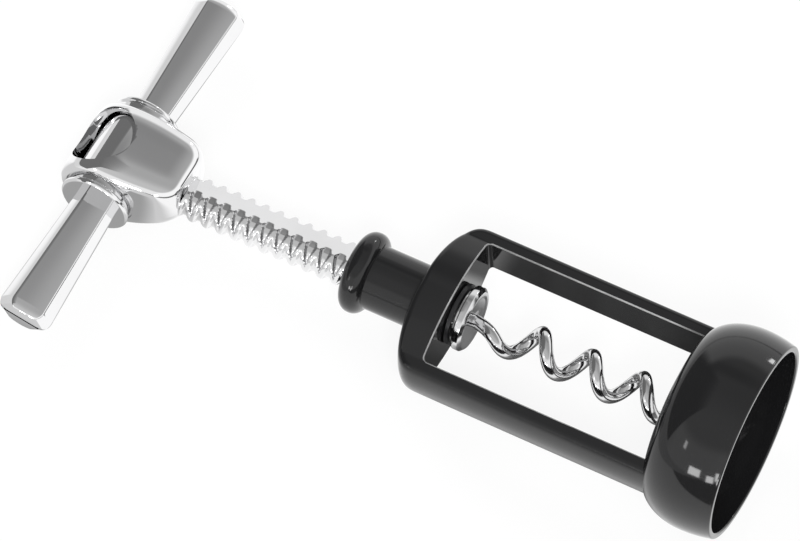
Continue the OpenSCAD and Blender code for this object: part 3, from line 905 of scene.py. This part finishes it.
# The sheet that the floor mirrors as: where it ends or dims, and its levels before and after
SHEET_ACROSS = (0.773, -0.634)
SHEET_END = (0.051, 0.057, 1.2, 0.22)
SHEET_BACK = (0.07, 0.14)
SHEET_BACK_LEVEL = 1.1
SHEET_LEFT = (-0.2, -0.4, 1.0, 0.72)
HUB_SIDE_X = (-0.118, -0.128)
HUB_SIDE_Y = (0.004, -0.008)
HUB_SIDE_LEVEL = 0.76
UNDER_BAR_LEVEL = 0.42
SHADOW_GREY = 0.3

# Soft-edged rectangles of the floor: ranges of x and y, and how soft each is
UNDER_BAR = ((-0.157, -0.134), (-0.046, 0.046), 0.003, 0.004)
UNDER_CAGE = ((-0.068, -0.012), (-0.016, 0.016), 0.004, 0.004)
BY_BRIDGE = ((-0.068, -0.0535), (0.0185, 0.036), 0.0012, 0.002)

# The floor as the camera sees it, and the grey that it gives to other light
SEEN_GREY = 0.12
SEEN_GLOW = 0.88
UNSEEN_GREY = 0.86


def stage(name, corners):
    """A flat piece of the stage, and the empty node tree of its material."""
    mesh = bpy.data.meshes.new(name)
    mesh.from_pydata(corners, [], [(0, 1, 2, 3)])
    obj = bpy.data.objects.new(name, mesh)
    scene.collection.objects.link(obj)
    mat = bpy.data.materials.new(name)
    mesh.materials.append(mat)
    return obj, Tree(mat)


def floor_height(x):
    """The floor touches the bell and the hub, so that it slopes a little."""
    return (FLOOR_TILT * (-BELL_CREST - x / MM) - BELL_RADIUS) * MM - FLOOR_GAP


def build_floor():
    """A pale floor. Glossy pieces mirror it as a white sheet with dim places."""
    sides = [(-1, -1), (1, -1), (1, 1), (-1, 1)]
    corners = [(a * FLOOR_HALF, b * FLOOR_HALF, floor_height(a * FLOOR_HALF)) for a, b in sides]
    tree = stage("floor", corners)[1]
    x, y, _ = tree.coordinates("Object")
    # the sheet ends in front of the bell but goes on far behind it, and is dimmer at the far left
    across_x, across_y = (tree.maths("MULTIPLY", v, share) for v, share in zip((x, y), SHEET_ACROSS))
    level = tree.step(tree.maths("ADD", across_x, across_y), *SHEET_END)
    level = tree.blend(level, SHEET_BACK_LEVEL, tree.step(y, *SHEET_BACK))
    level = tree.maths("MULTIPLY", level, tree.step(x, *SHEET_LEFT))
    # it is dim beside the hub and under the handle
    beside_hub = tree.maths("MULTIPLY", tree.step(x, *HUB_SIDE_X), tree.step(y, *HUB_SIDE_Y))
    level = tree.blend(level, HUB_SIDE_LEVEL, beside_hub)
    level = tree.blend(level, UNDER_BAR_LEVEL, tree.patch(x, y, *UNDER_BAR))
    # and dark under the cage and behind the bridge
    shadow = tree.maths("MAXIMUM", tree.patch(x, y, *UNDER_CAGE), tree.patch(x, y, *BY_BRIDGE))
    mirrored = tree.join("MixShader", shadow, tree.white("Emission", level), tree.diffuse(SHADOW_GREY))
    seen = tree.join("AddShader", tree.diffuse(SEEN_GREY), tree.white("Emission", SEEN_GLOW))
    rays = tree.node("LightPath").outputs
    unseen = tree.join("MixShader", rays["Is Glossy Ray"], tree.diffuse(UNSEEN_GREY), mirrored)
    tree.node("OutputMaterial", Surface=tree.join("MixShader", rays["Is Camera Ray"], unseen, seen))


def build_board():
    """A dark board at the left that shows only in reflections, and fades at its top and its far side."""
    corners = [(BOARD_X, BOARD_Y[a], BOARD_Z[b]) for a, b in ((0, 0), (1, 0), (1, 1), (0, 1))]
    board, tree = stage("board", corners)
    board.visible_camera = board.visible_diffuse = board.visible_transmission = board.visible_shadow = False
    _, y, z = tree.coordinates("Object")
    fade = tree.maths("MAXIMUM", tree.step(z, *BOARD_TOP_FADE), tree.step(y, *BOARD_SIDE_FADE))
    clear = tree.node("BsdfTransparent").outputs[0]
    dark = tree.white("Emission", BOARD_LEVEL)
    tree.node("OutputMaterial", Surface=tree.join("MixShader", fade, dark, clear))


# The room: ranges of the ray's direction over which it changes, and its levels before and after
CEILING_START = (0.5, 0.68)
CEILING_DEPTH = (-0.5, 0.2, 0.66, 0.47)
ROW_DEPTH = (0.42, 0.62, 0.08)
ROW_RIGHT = (0.6, -0.1)
ROW_DARKENING = -0.4
WALL_RIGHT = (0.1, 0.4, 1.05, 1.2)
WALL_LEFT = (-0.6, -0.9, 1.0, 0.78)
HORIZON = (-0.02, 0.05)
HORIZON_LEVEL = 0.15
PANEL = ((0.72, 1.1), (-0.3, 0.22), 0.05, 0.06)
PANEL_DEPTH = (0.3, 0.4)
PANEL_LEVEL = 0.12
SOFT_LEVEL = 0.62
WHITE_LEVEL = 1.0

# Small lit panes, as ranges of the ray's x and z, and a share of their full level
PANE_LEVEL = 11.0
PANE_SOFT = 0.01
FRONT_DEPTH = (-0.1, -0.3)
BACK_DEPTH = (0.6, 0.7)
FRONT_PANES = (
    ((-0.18, 0.0), (0.04, 0.19), 1.0),
    ((0.1, 0.2), (0.0, 0.13), 1.0),
    ((0.22, 0.29), (0.06, 0.22), 1.0),
    ((-0.44, -0.38), (0.38, 0.5), 0.5),
)
BACK_PANE = ((0.09, 0.17), (0.27, 0.38))


def build_world():
    """Even light on the object, a white background, and the room that glossy pieces mirror, which is
    painted by the direction (x, y, z) of the mirrored ray."""
    scene.world = bpy.data.worlds.new("studio")
    tree = Tree(scene.world)
    x, y, z = tree.coordinates("Generated")
    # a grey ceiling, lighter in front, with a darker row behind that fades to the right
    row = tree.maths("MULTIPLY", tree.between(y, *ROW_DEPTH), tree.step(x, *ROW_RIGHT))
    row = tree.maths("MULTIPLY_ADD", row, ROW_DARKENING, 1.0)
    ceiling = tree.maths("MULTIPLY", tree.step(y, *CEILING_DEPTH), row)
    # a white wall, dimmer at the far left, that stands on a dark horizon
    wall = tree.maths("MULTIPLY", tree.step(x, *WALL_RIGHT), tree.step(x, *WALL_LEFT))
    wall = tree.blend(HORIZON_LEVEL, wall, tree.step(z, *HORIZON))
    room = tree.blend(wall, ceiling, tree.step(z, *CEILING_START))
    # a dark panel at the back of the right side
    panel = tree.maths("MULTIPLY", tree.patch(x, z, *PANEL), tree.step(y, *PANEL_DEPTH))
    room = tree.blend(room, PANEL_LEVEL, panel)
    # one small pane behind and a few in front
    lit = tree.patch(x, z, *BACK_PANE, PANE_SOFT, PANE_SOFT)
    lit = tree.maths("MULTIPLY", lit, tree.step(y, *BACK_DEPTH))
    in_front = tree.step(y, *FRONT_DEPTH)
    for x_range, z_range, share in FRONT_PANES:
        pane = tree.patch(x, z, x_range, z_range, PANE_SOFT, PANE_SOFT)
        lit = tree.maths("MULTIPLY_ADD", tree.maths("MULTIPLY", pane, in_front), share, lit)
    mirrored = tree.white("Background", tree.maths("MULTIPLY_ADD", lit, PANE_LEVEL, room))
    rays = tree.node("LightPath").outputs
    soft = tree.white("Background", SOFT_LEVEL)
    unseen = tree.join("MixShader", rays["Is Glossy Ray"], soft, mirrored)
    seen = tree.white("Background", WHITE_LEVEL)
    tree.node("OutputWorld", Surface=tree.join("MixShader", rays["Is Camera Ray"], unseen, seen))


LAMP_AIM = Vector((-0.075, 0, 0))


def lamp(name, place, size, power):
    """A soft lamp that reflections don't show."""
    data = bpy.data.lights.new(name, "AREA")
    data.shape = "RECTANGLE"
    data.size, data.size_y = size
    data.energy = power
    obj = bpy.data.objects.new(name, data)
    obj.location = place
    obj.rotation_mode = "QUATERNION"
    obj.rotation_quaternion = (LAMP_AIM - Vector(place)).to_track_quat("-Z", "Y")
    obj.visible_glossy = False
    scene.collection.objects.link(obj)


build_floor()
build_board()
build_world()
lamp("key", (0.5, -1.0, 1.3), (0.5, 0.4), 16)
lamp("fill", (-1.2, 0.6, 1.2), (0.8, 0.8), 8)

# Camera, turned by an azimuth and an elevation about the point it aims at
CAMERA_AIM = Vector((-0.08112, 0.00374, 0.0))
CAMERA_DISTANCE = 1.0764
CAMERA_AZIMUTH = 27.3297
CAMERA_ELEVATION = 57.6454
CAMERA_LENS = 239.229
SENSOR_WIDTH = 36

camera = bpy.data.objects.new("camera", bpy.data.cameras.new("camera"))
scene.collection.objects.link(camera)
camera.data.sensor_width = SENSOR_WIDTH
camera.data.sensor_fit = "HORIZONTAL"
camera.data.lens = CAMERA_LENS
camera.data.clip_start, camera.data.clip_end = 0.05, 20
tilt = Euler((math.radians(90 - CAMERA_ELEVATION), 0, math.radians(CAMERA_AZIMUTH)))
camera.rotation_euler = tilt
camera.location = CAMERA_AIM + tilt.to_matrix() @ Vector((0, 0, CAMERA_DISTANCE))
scene.camera = camera
scene.view_settings.view_transform = "Standard"
